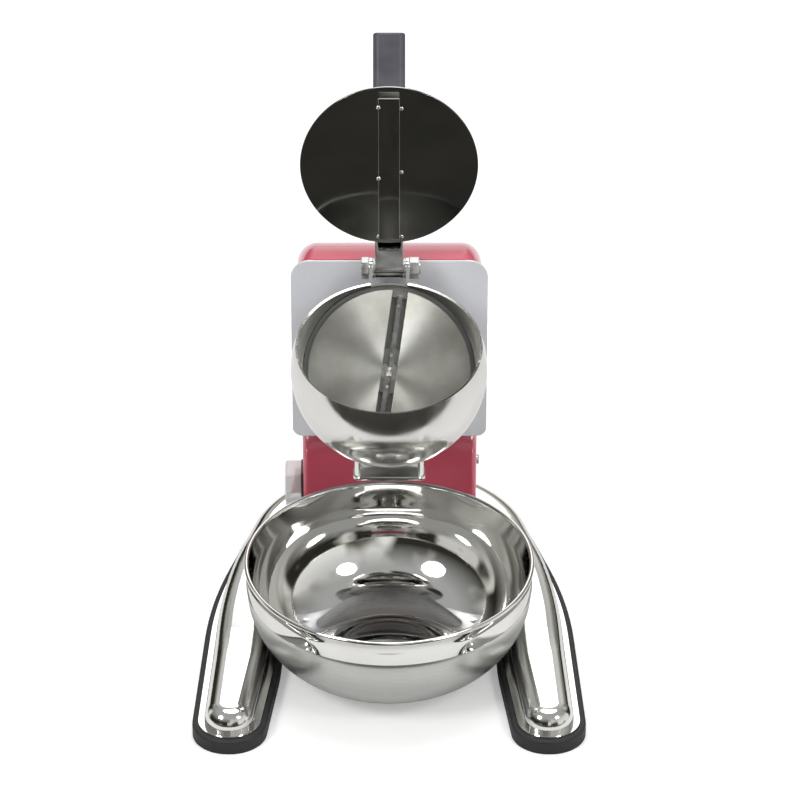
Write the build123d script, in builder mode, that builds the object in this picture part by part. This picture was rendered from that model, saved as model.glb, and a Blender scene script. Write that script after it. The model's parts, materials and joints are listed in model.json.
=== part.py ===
from build123d import *
import os
from math import asin, cos, degrees, pi, radians, sin, sqrt

# Ice shaver with a hand lever. Millimetres, +Z up, front towards -Y.
# The origin is on the table, in the middle of the footprint.

os.makedirs("parts", exist_ok=True)

# ---------------------------------------------------------------- driving dimensions
sheet = 1.5                     # pressed sheet thickness of housing and base
gap = 0.3                       # clearance between neighbours that don't touch
past = 10.0                     # how far a cutting shape runs past what it cuts
thread_past = 1.0               # thread showing behind a nut
soft_edge = 2.0                 # rounding of moulded pieces

# horseshoe base, half of it from above: x from the centre, y from the middle of the depth
overall_length = 427.0          # front of the rubber sole to the housing's arched back
toe_inner, toe_outer = 102.9, 162.2
waist_outer, waist_y = 152.0, -14.5
heel_outer, heel_y = 100.0, 166.0
gap_half, gap_front_y, gap_end_y = 89.5, -101.5, 52.0
toe_radius, heel_radius, gap_radius = 29.5, 125.0, 40.0
waist_radius, throat_radius = 440.0, 300.0
sole_height = 12.0
sole_margin = 5.0               # rubber showing outside the steel
ledge = 5.0                     # flat steel ledge outside the dome
toe_crown, platform_top = 30.0, 42.0
crown_start_y, crown_end_y, crown_radius = -95.0, 20.0, 300.0
dome_radius = 13.5

# bowl
bowl_y = -76.5
bowl_height, bowl_band = 98.0, 23.0
bowl_flat, bowl_radius, bowl_wall = 43.0, 118.0, 1.2
rim_bead = 2.0
bowl_step = 0.6                 # the polished band stands proud of the satin body

# ball hopper and the round chamber behind it
ball_y, ball_z = -40.9, 261.0
ball_radius, hopper_wall = 80.0, 1.8
mouth_tilt, mouth_rise = 13.0, 25.5
spindle_tilt = 34.0
chamber_radius = 73.0
chamber_end = 62.0              # back plate's rear face, along the spindle
notch_half, notch_end = 15.3, 52.0

# blade disc
disc_front, disc_radius, disc_thick = 44.0, 67.0, 4.0
slot_width, slot_lean = 12.5, 8.0
rim_ring, hub_radius, hub_length = 6.0, 19.0, 10.0
back_web = 3.0                  # ring and bars behind the disc that carry the blades
shaft_seat = 2.0                # metal left in front of the shaft's end
blade_width, blade_inner, blade_outer, blade_proud = 5.0, 4.0, 62.0, 0.8
blade_bevel = 1.6
blade_screw_r, blade_screw_inner, blade_screw_outer, blade_nut = 1.4, 13.0, 54.0, 1.8
pin_radius = 2.0

# spindle, bearings, spindle housing
shaft_radius = 7.5
running = 0.05                  # radial clearance where the shaft turns in a hole
bearing_radius, bearing_width = 16.0, 10.0
bearing_start = 76.0
seal_radius, seal_start, seal_width = 12.0, 64.0, 6.0
shaft_clear = 1.0               # air round the shaft where nothing runs on it
boss_wall = 8.0                 # metal round the nose bearing
housing_radius, housing_wall = 44.0, 5.0
nose_flange, nose_thick = 60.0, 6.0
nose_screw_circle, nose_screw_r, nose_screw_head, nose_nut = 51.0, 2.5, 2.8, 4.0
nose_head_radius, nose_nut_flat = 4.25, 8.0
mount_width, mount_height, mount_thick = 124.0, 112.0, 6.0
mount_bolt_x, mount_bolt_z = 53.0, 47.0
mount_bolt_r, mount_bolt_flat, mount_bolt_head = 3.0, 10.0, 4.0

# motor
motor_start, motor_radius = 180.0, 52.0
motor_wall, adaptor_radius, adaptor_thick = 2.0, 48.0, 6.0
cap_thick = 10.0
core_inner = 31.0
air_gap = 0.5
winding_length, winding_wall = 9.0, 13.0
tie_circle, tie_radius, lug_radius = 54.5, 2.0, 5.0
tie_head, tie_head_flat = 3.0, 7.0
fan_radius, fan_thick, fan_blades = 38.0, 7.0, 7
fan_gap, fan_air = 3.0, 12.6    # air in front of the fan, and between it and the arched back
shaft_past = 2.0                # shaft end behind the fan

# front plate and crimson housing
plate_y, plate_thick = 65.5, 2.0
plate_width, plate_bottom, plate_top = 164.0, 128.0, 300.0
plate_top_radius, plate_bottom_radius = 16.0, 8.0
head_half, neck_half = 77.3, 74.3
arch_z, arch_radius = 137.0, 165.0
head_edge_radius, neck_edge_radius = 17.0, 5.0
neck_front_y, neck_curve = 78.0, 50.0
neck_back_y, neck_back_corner, neck_back_radius = 134.0, 18.0, 200.0    # where it meets the base
front_flange, top_flange, opening_corner = 12.0, 16.0, 8.0
foot_flange = 13.0
plate_stud_x, plate_stud_low, plate_stud_high = 71.0, 140.0, 286.0
stud_radius, stud_nut_flat, stud_nut = 2.0, 7.0, 3.2

# chute
chute_half, chute_front_y, chute_depth, chute_bottom = 28.5, -42.5, 18.0, 154.0
chute_wall, chute_edge, chute_hem = 1.5, 5.0, 1.2
slot_in_floor = 11.0            # length of the outlet in the chamber's floor

# lid, lever and hinge
hinge_y, hinge_z = 46.9, 304.4
lid_radius, lid_thick = 72.6, 1.5
lid_reach, lid_back = 95.3, 3.0     # lid centre above the hinge, and behind its axis
lever_half, lever_depth, lever_wall = 11.5, 8.5, 2.0
lug, lever_tail = 8.2, 4.0
bush_radius = 6.5
bend_reach, bend_angle, arm_length = 70.0, 32.0, 122.0
grip_start, grip_end, grip_half, grip_depth, grip_edge = 32.0, 130.0, 13.2, 16.0, 5.5
rib_half, rib_depth, rib_wall, rib_margin = 8.6, 7.0, 1.5, 7.0
ear_in, ear_thick, ear_round = 13.6, 3.0, 9.0
ear_ahead, ear_behind, ear_foot, ear_foot_thick = 15.5, 12.0, 12.0, 2.0
ear_root, ear_foot_inset = 6.0, 4.0
bolt_radius, bolt_head, bolt_head_flat, nut_height, bolt_past = 5.0, 6.4, 16.0, 8.0, 1.5
washer_radius, washer_thick = 8.5, 1.6

# switch on the left wall
switch_y, switch_z = 97.0, 61.0
bezel_depth_y, bezel_height, bezel_thick = 25.0, 31.0, 2.0
switch_cut_y, switch_cut_z, switch_body_depth = 20.0, 26.0, 22.0
rocker_y, rocker_half, rocker_proud, rocker_dip, rocker_base = 14.0, 8.5, 9.0, 2.5, 7.5
rocker_tilt, rocker_back, rocker_pivot = 9.0, 3.5, 1.0
rocker_room = 10.8              # half height of the pocket
cover_wall, cover_depth, cover_margin = 0.8, 14.0, 0.6
bezel_corner, cover_corner, cover_edge = 2.0, 3.0, 2.5

# capacitor, clip and side screw
capacitor_radius, capacitor_length = 17.5, 45.0
capacitor_x, capacitor_y = 42.0, 106.0
clip_wall, clip_low, clip_height, clip_margin = 1.5, 66.0, 14.0, 2.0
side_screw_y, side_screw_z = 98.0, 83.0
side_screw_head, side_screw_thick, side_screw_r, side_screw_edge = 4.3, 2.6, 2.4, 1.2
side_nut_flat, side_nut = 8.0, 3.5

# cable gland in the back
gland_z, gland_bore, gland_radius, gland_flat = 68.0, 4.0, 8.0, 19.0
gland_hex, gland_reach, gland_cap, gland_inside, gland_nut_thick = 5.0, 13.0, 8.5, 9.0, 4.0

# feet screws and body bolts
foot_screw_r, foot_screw_head, foot_screw_thick = 2.5, 4.6, 3.0
foot_screw_grip = 10.0          # thread inside the boss
boss_radius = 7.5
toe_screw_x, toe_screw_inset = 129.5, 31.5
waist_screw_x, waist_screw_y = 121.0, -60.0
heel_screw_x, heel_screw_inset = 56.0, 38.0
body_bolt_r, body_bolt_flat, body_bolt_head = 2.5, 8.0, 3.5
body_bolt_places = [(66.0, 92.0), (20.0, 125.0)]
vent_rows, vent_width, vent_half, vent_pitch, vent_first = 6, 4.0, 24.0, 11.0, 8.0

# ---------------------------------------------------------------- worked out from them
front_y = -overall_length / 2
arch_y = overall_length / 2 - arch_radius
foot_screw_places = [
    (toe_screw_x, front_y + toe_screw_inset), (waist_screw_x, waist_screw_y),
    (heel_screw_x, heel_y - heel_screw_inset),
]
ball_in = ball_radius - hopper_wall
chamber_in = chamber_radius - hopper_wall
tilt_c, tilt_s = cos(radians(spindle_tilt)), sin(radians(spindle_tilt))
ball_centre = Vector(0, ball_y, ball_z)
into_body = Vector(0, tilt_c, -tilt_s)
spindle_axis = Axis(ball_centre, into_body)
body_front_y = plate_y + plate_thick
lid_front = hinge_y + lid_back - lid_thick / 2
lid_rear = lid_front + lid_thick
web_rear = lid_rear + lever_depth
lid_z = hinge_z + lid_reach
centre_z = ball_z - (plate_y - ball_y) * tilt_s / tilt_c    # spindle height at the front plate

# the motor reaches back until the fan's upper corner is fan_air from the arched back
corner_y = ball_y + fan_radius * tilt_s - arch_y
corner_z = ball_z + fan_radius * tilt_c - arch_z
corner_along = corner_y * tilt_c - corner_z * tilt_s
corner_reach = arch_radius - sheet - fan_air
fan_end = sqrt(corner_along ** 2 + corner_reach ** 2 - corner_y ** 2 - corner_z ** 2) - corner_along
fan_start = fan_end - fan_thick
motor_end = fan_start - fan_gap
shaft_end = fan_end + shaft_past
casing_start, casing_end = motor_start + cap_thick, motor_end - cap_thick
core_start = casing_start + winding_length
core_length = casing_end - casing_start - 2 * winding_length

# sketch plane through the spindle: x runs along it from the ball's centre, y is the radius
spindle_section = Plane(origin=ball_centre, x_dir=into_body, z_dir=(1, 0, 0))


def across_spindle(distance):
    # plane square to the spindle, facing the mouth, at a distance behind the ball's centre
    return Plane(origin=ball_centre + into_body * distance, x_dir=(1, 0, 0), z_dir=-into_body)


def horseshoe(margin):
    # the base seen from above, drawn in by margin all round
    right = [
        (gap_half, gap_front_y), (toe_inner, front_y), (toe_outer, front_y), (waist_outer, waist_y),
        (heel_outer, heel_y),
    ]
    left = [(-x, y) for x, y in reversed(right)]
    inner_end = [(-gap_half, gap_end_y), (gap_half, gap_end_y)]
    radii = [throat_radius, toe_radius, toe_radius, waist_radius, heel_radius]
    with BuildLine() as outline:
        FilletPolyline(right + left + inner_end, radius=radii + radii[::-1] + [gap_radius] * 2, close=True)
    make_face(outline.edges())
    if margin > 0:
        offset(amount=-margin, mode=Mode.REPLACE)


def crown(drop):
    # side view of everything under the base's top line: low over the toes, level under the body
    with BuildLine() as outline:
        FilletPolyline(
            (front_y - past, toe_crown - drop), (crown_start_y, toe_crown - drop),
            (crown_end_y, platform_top - drop), (heel_y + past, platform_top - drop),
            radius=crown_radius,
        )
        Line((heel_y + past, platform_top - drop), (heel_y + past, 0))
        Line((heel_y + past, 0), (front_y - past, 0))
        Line((front_y - past, 0), (front_y - past, toe_crown - drop))
    make_face(outline.edges())


# ---------------------------------------------------------------- base
with BuildPart() as base_sole:
    with BuildSketch():
        horseshoe(0)
    extrude(amount=sole_height)
    fillet(base_sole.faces().sort_by(Axis.Z)[-1].edges(), soft_edge)
    sole_places = [(side * x, y) for x, y in foot_screw_places for side in (-1, 1)]
    with BuildSketch(Plane.XY):
        with Locations(*sole_places):
            Circle(foot_screw_head + gap)
    extrude(amount=sole_height / 2, mode=Mode.SUBTRACT)
    with BuildSketch(Plane.XY):
        with Locations(*sole_places):
            Circle(foot_screw_r + gap)
    extrude(amount=sole_height, mode=Mode.SUBTRACT)

dome_inset = sole_margin + ledge


def dome(inset, drop, edge_radius):
    # solid of the raised part of the base, used for the outside and for the hollow
    with BuildPart() as raised:
        with BuildSketch(Plane.XY.offset(sole_height)):
            horseshoe(inset)
        extrude(amount=platform_top)
        with BuildSketch(Plane.YZ):
            crown(drop)
        extrude(amount=toe_outer, both=True, mode=Mode.INTERSECT)
        tops = raised.faces().filter_by(lambda f: f.normal_at().Z > 0.9)
        inner = [e for e in tops.edges() if abs(e.tangent_at(0.5).X) > 0.99
                 and gap_end_y - 20 > e.center().Y > front_y + 40]
        rims = [e for e in tops.edges() if not any(e.is_same(seam) for seam in inner)]
        fillet(ShapeList(rims), edge_radius)
    return raised.part


outer_dome = dome(dome_inset, 0, dome_radius)
inner_dome = dome(dome_inset + sheet, sheet, dome_radius - sheet)

with BuildPart() as bosses:
    with BuildSketch(Plane.XY.offset(sole_height)):
        with Locations(*sole_places):
            Circle(boss_radius)
    extrude(amount=platform_top)
    add(outer_dome, mode=Mode.INTERSECT)

with BuildPart() as base_shell:
    with BuildSketch(Plane.XY.offset(sole_height)):
        horseshoe(sole_margin)
    extrude(amount=sheet)
    add(outer_dome)
    add(inner_dome, mode=Mode.SUBTRACT)
    # threaded bosses that take the screws from below
    add(bosses.part)
    with BuildSketch(Plane.XY.offset(sole_height)):
        with Locations(*sole_places):
            Circle(foot_screw_r)
    extrude(amount=foot_screw_grip, mode=Mode.SUBTRACT)
    body_places = [(side * x, y) for x, y in body_bolt_places for side in (-1, 1)]
    with BuildSketch(Plane.XY.offset(platform_top)):
        with Locations(*body_places):
            Circle(body_bolt_r + gap)
    extrude(amount=-2 * sheet, mode=Mode.SUBTRACT)

with BuildPart() as foot_screws:
    with BuildSketch(Plane.XY.offset(sole_height / 2 - foot_screw_thick)):
        with Locations(*sole_places):
            Circle(foot_screw_head)
    extrude(amount=foot_screw_thick)
    with BuildSketch(Plane.XY.offset(sole_height / 2)):
        with Locations(*sole_places):
            Circle(foot_screw_r)
    extrude(amount=sole_height / 2 + foot_screw_grip)

# ---------------------------------------------------------------- bowl
curve_radius = bowl_height - bowl_band
with BuildPart() as bowl:
    with BuildSketch(Plane.XZ.offset(-bowl_y)):
        band_start = bowl_height - bowl_band
        turn = Vector(bowl_flat, curve_radius)
        with BuildLine():
            Line((0, 0), (bowl_flat, 0))
            CenterArc(turn, curve_radius, -90, 90)
            Line((bowl_radius, band_start), (bowl_radius + bowl_step, band_start))
            Line((bowl_radius + bowl_step, band_start), (bowl_radius + bowl_step, bowl_height - rim_bead))
            Line((bowl_radius + bowl_step, bowl_height - rim_bead),
                 (bowl_radius - bowl_wall, bowl_height - rim_bead))
            Line((bowl_radius - bowl_wall, bowl_height - rim_bead), (bowl_radius - bowl_wall, band_start))
            CenterArc(turn, curve_radius - bowl_wall, 0, -90)
            Line((bowl_flat, bowl_wall), (0, bowl_wall))
            Line((0, bowl_wall), (0, 0))
        make_face()
        with Locations((bowl_radius, bowl_height - rim_bead)):
            Circle(rim_bead)
    revolve(axis=Axis((0, bowl_y, 0), (0, 0, 1)))

# ---------------------------------------------------------------- crimson housing


def side_profile(inset, low):
    # arched side view of the housing, from its front face to the arched back, above a level
    radius = arch_radius - inset
    front = body_front_y + inset
    with BuildLine() as outline:
        top = (front, arch_z + sqrt(radius ** 2 - (front - arch_y) ** 2))
        back = (arch_y + sqrt(radius ** 2 - (low - arch_z) ** 2), low)
        half = degrees(asin((top[1] - arch_z) / radius)) / 2
        middle = (arch_y + radius * cos(radians(half)), arch_z + radius * sin(radians(half)))
        ThreePointArc(top, middle, back)
        Line(back, (front, low))
        Line((front, low), top)
    make_face(outline.edges())


# the neck's back is drawn in from the head's arch to the base, on an arc through both ends
neck_top_y = arch_y + sqrt(arch_radius ** 2 - (plate_bottom - arch_z) ** 2)
neck_drop, neck_draw = plate_bottom - platform_top, neck_top_y - neck_back_y
half_chord = sqrt(neck_draw ** 2 + neck_drop ** 2) / 2
chord_inward = sqrt(neck_back_radius ** 2 - half_chord ** 2) / (2 * half_chord)
back_centre_y = (neck_back_y + neck_top_y) / 2 - chord_inward * neck_drop
back_centre_z = (platform_top + plate_bottom) / 2 + chord_inward * neck_draw


def neck_profile(inset, low):
    # the neck under the head: its front curves back under the plate, then drops to the base
    radius = neck_back_radius - inset
    front = neck_front_y + inset
    curve = neck_curve
    start_angle = degrees(pi / 2 - asin(1 - (neck_front_y - body_front_y) / curve))
    low_z = plate_bottom - curve * sin(radians(start_angle))
    start = (front + curve * (cos(radians(start_angle)) - 1), plate_bottom)
    half = radians(start_angle / 2)
    middle = (front + curve * (cos(half) - 1), low_z + curve * sin(half))
    mid_z = (low + plate_bottom) / 2
    bottom_y, mid_y, reach = [
        back_centre_y + sqrt(radius ** 2 - (z - back_centre_z) ** 2) for z in (low, mid_z, plate_bottom)
    ]
    with BuildLine() as outline:
        ThreePointArc(start, middle, (front, low_z))
        Line((front, low_z), (front, low))
        Line((front, low), (bottom_y, low))
        ThreePointArc((bottom_y, low), (mid_y, mid_z), (reach, plate_bottom))
        Line((reach, plate_bottom), start)
    make_face(outline.edges())


def housing_solid(inset, low, edge):
    # head and neck as one solid, drawn in by inset
    with BuildPart() as head:
        with BuildSketch(Plane.YZ):
            side_profile(inset, plate_bottom + inset)
        extrude(amount=head_half - inset, both=True)
        arch_edges = head.edges().filter_by(
            lambda e: abs(abs(e.center().X) - (head_half - inset)) < 0.01 and e.geom_type == GeomType.CIRCLE)
        fillet(arch_edges, edge)
        under = head.edges().filter_by(
            lambda e: abs(abs(e.center().X) - (head_half - inset)) < 0.01
            and abs(e.center().Z - plate_bottom - inset) < 0.01)
        fillet(under, neck_edge_radius - inset)
    with BuildPart() as neck:
        with BuildSketch(Plane.YZ):
            neck_profile(inset, low)
        extrude(amount=neck_half - inset, both=True)
        back_edges = neck.edges().filter_by(
            lambda e: abs(abs(e.center().X) - (neck_half - inset)) < 0.01
            and e.center().Y > neck_back_y and e.geom_type == GeomType.CIRCLE)
        fillet(back_edges, neck_back_corner - inset)
        front_edges = neck.edges().filter_by(
            lambda e: abs(abs(e.center().X) - (neck_half - inset)) < 0.01
            and e.center().Y < neck_front_y + inset + 1)
        fillet(front_edges, neck_edge_radius - inset)
        if inset > 0:
            # the hollow runs on up into the head
            lip_front, lip_back = body_front_y + 2 * inset, neck_top_y - neck_back_corner
            with BuildSketch(Plane.XY.offset(plate_bottom - gap)):
                with Locations((0, (lip_front + lip_back) / 2)):
                    Rectangle(2 * neck_half - 4 * inset, lip_back - lip_front)
            extrude(amount=2 * inset)
    return head.part, neck.part


outer_head, outer_neck = housing_solid(0, platform_top, head_edge_radius)
inner_head, inner_neck = housing_solid(sheet, platform_top - 1, head_edge_radius - sheet)
gland_y = back_centre_y + sqrt(neck_back_radius ** 2 - (gland_z - back_centre_z) ** 2)
gland_normal = Vector(0, gland_y - back_centre_y, gland_z - back_centre_z).normalized()

plate_studs = [(x, z) for x in (-plate_stud_x, plate_stud_x) for z in (plate_stud_low, plate_stud_high)]

# inward foot flange, bolted down to the base
with BuildPart() as foot_ring:
    with BuildSketch(Plane.XY.offset(platform_top)):
        flange_depth = neck_back_y - neck_front_y
        with Locations((0, neck_front_y + flange_depth / 2)):
            Rectangle(2 * neck_half, flange_depth)
            Rectangle(2 * (neck_half - foot_flange), flange_depth - 2 * foot_flange, mode=Mode.SUBTRACT)
    extrude(amount=sheet)
    add(outer_neck, mode=Mode.INTERSECT)

with BuildPart() as main_housing:
    add(outer_head)
    add(outer_neck)
    add(inner_head, mode=Mode.SUBTRACT)
    add(inner_neck, mode=Mode.SUBTRACT)
    # the open front, inside a flange that carries the front plate
    opening_top = plate_top - top_flange
    opening_low = plate_bottom + 2 * sheet
    with BuildSketch(Plane.XZ.offset(-body_front_y)):
        with Locations((0, (opening_top + opening_low) / 2)):
            RectangleRounded(2 * (head_half - front_flange), opening_top - opening_low, opening_corner)
    extrude(amount=-2 * sheet, mode=Mode.SUBTRACT)
    with BuildSketch(Plane.XZ.offset(-body_front_y)):
        with Locations(*plate_studs):
            Circle(stud_radius + gap)
    extrude(amount=-2 * sheet, mode=Mode.SUBTRACT)
    add(foot_ring.part)
    with BuildSketch(Plane.XY.offset(platform_top)):
        with Locations(*body_places):
            Circle(body_bolt_r + gap)
    extrude(amount=2 * sheet, mode=Mode.SUBTRACT)
    # switch cut-out, side screw hole, gland hole and vent slots
    with BuildSketch(Plane.YZ.offset(-neck_half - 1)):
        with Locations((switch_y, switch_z)):
            Rectangle(switch_cut_y + 2 * gap, switch_cut_z + 2 * gap)
    extrude(amount=2 * sheet + 1, mode=Mode.SUBTRACT)
    with BuildSketch(Plane.YZ.offset(neck_half - 2 * sheet)):
        with Locations((side_screw_y, side_screw_z)):
            Circle(side_screw_r + gap)
    extrude(amount=4 * sheet, mode=Mode.SUBTRACT)
    with BuildSketch(Plane(origin=(0, gland_y, gland_z), x_dir=(1, 0, 0), z_dir=gland_normal)):
        Circle(gland_radius + gap)
    extrude(amount=past, both=True, mode=Mode.SUBTRACT)
    for row in range(vent_rows):
        rise = radians(vent_first) + row * vent_pitch / arch_radius
        slot_y, slot_z = arch_y + arch_radius * cos(rise), arch_z + arch_radius * sin(rise)
        slot_plane = Plane(origin=(0, slot_y, slot_z), x_dir=(1, 0, 0), z_dir=(0, cos(rise), sin(rise)))
        with BuildSketch(slot_plane):
            SlotOverall(2 * vent_half, vent_width)
        extrude(amount=past, both=True, mode=Mode.SUBTRACT)

# ---------------------------------------------------------------- front plate
mount_places = [
    (x, centre_z + z) for x in (-mount_bolt_x, mount_bolt_x) for z in (-mount_bolt_z, mount_bolt_z)
]
with BuildPart() as front_plate:
    with BuildSketch(Plane.XZ.offset(-plate_y)) as plate_face:
        with Locations((0, (plate_top + plate_bottom) / 2)):
            Rectangle(plate_width, plate_top - plate_bottom)
        fillet(plate_face.vertices().group_by(Axis.Y)[-1], plate_top_radius)
        fillet(plate_face.vertices().group_by(Axis.Y)[0], plate_bottom_radius)
        with Locations(*mount_places):
            Circle(mount_bolt_r + gap, mode=Mode.SUBTRACT)
    extrude(amount=-plate_thick)
    with BuildSketch(across_spindle(chamber_end)):
        Circle(housing_radius + gap)
    extrude(amount=-2 * motor_start, mode=Mode.SUBTRACT)
    # studs on the back, for the nuts that hold the plate's corners
    with BuildSketch(Plane.XZ.offset(-body_front_y)):
        with Locations(*plate_studs):
            Circle(stud_radius)
    extrude(amount=-(sheet + stud_nut + thread_past))

with BuildPart() as plate_nuts:
    with BuildSketch(Plane.XZ.offset(-body_front_y - sheet)):
        with Locations(*plate_studs):
            RegularPolygon(stud_nut_flat / 2, 6, major_radius=False)
            Circle(stud_radius, mode=Mode.SUBTRACT)
    extrude(amount=-stud_nut)

# ---------------------------------------------------------------- hopper
mouth_normal = Vector(0, -sin(radians(mouth_tilt)), cos(radians(mouth_tilt)))
mouth_plane = Plane(origin=ball_centre + mouth_normal * mouth_rise, x_dir=(1, 0, 0), z_dir=mouth_normal)


def hopper_profile(ball, chamber, end):
    # half section along the spindle: a ball that runs into a round chamber
    join = sqrt(ball ** 2 - chamber ** 2)
    with BuildLine() as outline:
        ThreePointArc((-ball, 0), (0, ball), (join, chamber))
        Line((join, chamber), (end, chamber))
        Line((end, chamber), (end, 0))
        Line((end, 0), (-ball, 0))
    make_face(outline.edges())


quarters = [radians(45 + 90 * turn) for turn in range(4)]
nose_places = [(nose_screw_circle * cos(a), nose_screw_circle * sin(a)) for a in quarters]
with BuildPart() as hopper_block:
    with BuildSketch(spindle_section):
        hopper_profile(ball_radius, chamber_radius, chamber_end)
    revolve(axis=spindle_axis)

with BuildPart() as hopper:
    add(hopper_block.part)
    with BuildSketch(spindle_section):
        hopper_profile(ball_in, chamber_in, chamber_end - hopper_wall)
    revolve(axis=spindle_axis, mode=Mode.SUBTRACT)
    split(bisect_by=mouth_plane, keep=Keep.BOTTOM)
    # notch behind the mouth that lets the lever swing down
    with BuildSketch(spindle_section):
        with Locations((notch_end / 2, chamber_radius)):
            Rectangle(notch_end, 2 * past)
    extrude(amount=notch_half, both=True, mode=Mode.SUBTRACT)
    # outlet in the chamber's floor, behind the disc
    outlet_end = chamber_end - hopper_wall
    with BuildSketch(spindle_section):
        with Locations((outlet_end - slot_in_floor / 2, -chamber_radius)):
            Rectangle(slot_in_floor, 2 * past)
    extrude(amount=chute_half - chute_edge, both=True, mode=Mode.SUBTRACT)
    with BuildSketch(across_spindle(chamber_end)):
        Circle(shaft_radius + 2 * shaft_clear)
        with Locations(*nose_places):
            Circle(nose_screw_r + gap)
    extrude(amount=2 * hopper_wall, mode=Mode.SUBTRACT)

with BuildPart() as hopper_screws:
    with BuildSketch(across_spindle(chamber_end - hopper_wall)):
        with Locations(*nose_places):
            Circle(nose_head_radius)
    extrude(amount=nose_screw_head)
    with BuildSketch(across_spindle(chamber_end - hopper_wall)):
        with Locations(*nose_places):
            Circle(nose_screw_r)
    extrude(amount=-(hopper_wall + nose_thick + nose_nut + thread_past))

with BuildPart() as hopper_nuts:
    with BuildSketch(across_spindle(chamber_end + nose_thick)):
        with Locations(*nose_places):
            RegularPolygon(nose_nut_flat / 2, 6, major_radius=False)
            Circle(nose_screw_r, mode=Mode.SUBTRACT)
    extrude(amount=-nose_nut)

# ---------------------------------------------------------------- chute
with BuildPart() as chute:
    chute_mid = chute_front_y + chute_depth / 2
    with BuildSketch(Plane.XY.offset(chute_bottom)):
        with Locations((0, chute_mid)):
            RectangleRounded(2 * chute_half, chute_depth, chute_edge)
    extrude(amount=ball_z - chute_bottom - chamber_radius / 2)
    with BuildSketch(Plane.XY.offset(chute_bottom)):
        with Locations((0, chute_mid)):
            hem_width, hem_depth = 2 * (chute_half + chute_hem), chute_depth + 2 * chute_hem
            RectangleRounded(hem_width, hem_depth, chute_edge + chute_hem)
    extrude(amount=2 * chute_hem)
    with BuildSketch(Plane.XY.offset(chute_bottom)):
        with Locations((0, chute_mid)):
            mouth_width, mouth_depth = 2 * (chute_half - chute_wall), chute_depth - 2 * chute_wall
            RectangleRounded(mouth_width, mouth_depth, chute_edge - chute_wall)
    extrude(amount=ball_z - chute_bottom, mode=Mode.SUBTRACT)
    add(hopper_block.part, mode=Mode.SUBTRACT)

# ---------------------------------------------------------------- lid, lever and hinge
hinge_offset = Vector(0, hinge_y, hinge_z) - ball_centre
hinge_along = hinge_offset.dot(into_body)
hinge_radial = hinge_offset.dot(Vector(0, tilt_s, tilt_c))


def hinge_ear(side):
    # plate that stands on the chamber beside the notch, with a foot turned outwards
    start = ear_in if side > 0 else -ear_in - ear_thick
    ear_plane = Plane(origin=ball_centre + Vector(start, 0, 0), x_dir=into_body, z_dir=(1, 0, 0))
    with BuildPart() as ear:
        with BuildSketch(ear_plane):
            with BuildLine() as outline:
                Polyline(
                    (hinge_along - ear_ahead, chamber_radius - ear_root),
                    (hinge_along + ear_behind, chamber_radius - ear_root),
                    (hinge_along + ear_round, hinge_radial),
                    (hinge_along - ear_round, hinge_radial), close=True,
                )
            make_face(outline.edges())
            with Locations((hinge_along, hinge_radial)):
                Circle(ear_round)
        extrude(amount=ear_thick)
        foot_mid = side * (ear_in + ear_foot / 2)
        with BuildSketch(across_spindle(hinge_along - ear_ahead + ear_foot_inset)):
            Circle(chamber_radius + ear_foot_thick)
            Circle(chamber_radius - ear_foot_inset, mode=Mode.SUBTRACT)
            with Locations((foot_mid, chamber_radius)):
                Rectangle(ear_foot, 2 * past, mode=Mode.INTERSECT)
        extrude(amount=-(ear_ahead + ear_behind - 2 * ear_foot_inset))
        add(hopper_block.part, mode=Mode.SUBTRACT)
        with BuildSketch(Plane.YZ.offset(start)):
            with Locations((hinge_y, hinge_z)):
                Circle(bolt_radius)
        extrude(amount=ear_thick, mode=Mode.SUBTRACT)
    return ear.part


ear_left, ear_right = hinge_ear(-1), hinge_ear(1)
ear_out = ear_in + ear_thick

with BuildPart() as hinge_bolt:
    with BuildSketch(Plane.YZ.offset(-ear_out)):
        with Locations((hinge_y, hinge_z)):
            RegularPolygon(bolt_head_flat / 2, 6, major_radius=False)
    extrude(amount=-bolt_head)
    with BuildSketch(Plane.YZ.offset(-ear_out)):
        with Locations((hinge_y, hinge_z)):
            Circle(bolt_radius)
    extrude(amount=2 * ear_out + nut_height + bolt_past)

with BuildPart() as hinge_nut:
    with BuildSketch(Plane.YZ.offset(ear_out)):
        with Locations((hinge_y, hinge_z)):
            RegularPolygon(bolt_head_flat / 2, 6, major_radius=False)
            Circle(bolt_radius, mode=Mode.SUBTRACT)
    extrude(amount=nut_height)

with BuildPart() as hinge_washers:
    for start in (-ear_in, ear_in - washer_thick):
        with BuildSketch(Plane.YZ.offset(start)):
            with Locations((hinge_y, hinge_z)):
                Circle(washer_radius)
                Circle(bolt_radius, mode=Mode.SUBTRACT)
        extrude(amount=washer_thick)

with BuildPart() as lever_bush:
    with BuildSketch(Plane.YZ.offset(-lever_half)):
        with Locations((hinge_y, hinge_z)):
            Circle(bush_radius)
            Circle(bolt_radius + running, mode=Mode.SUBTRACT)
    extrude(amount=2 * lever_half)

bend = radians(bend_angle)
bend_z = hinge_z + bend_reach
arm_along = Vector(sin(bend), cos(bend))
arm_out = Vector(cos(bend), -sin(bend))
bend_point = Vector(lid_rear, bend_z)


def arm_point(along, out):
    # a point in the side view of the arm, past its bend
    return bend_point + arm_along * along + arm_out * out


def lever_outline():
    # side view of the channel, from its lug at the hinge to the end of the arm
    turn = lever_depth * sin(bend / 2) / cos(bend / 2)
    with BuildLine() as outline:
        Polyline(
            (hinge_y - lug, hinge_z), (lid_rear, hinge_z + lid_reach - lid_radius), (lid_rear, bend_z),
            arm_point(arm_length, 0), arm_point(arm_length, lever_depth), (web_rear, bend_z - turn),
            (web_rear, hinge_z - lever_tail), (hinge_y, hinge_z - lug), close=True,
        )
    make_face(outline.edges())


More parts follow.
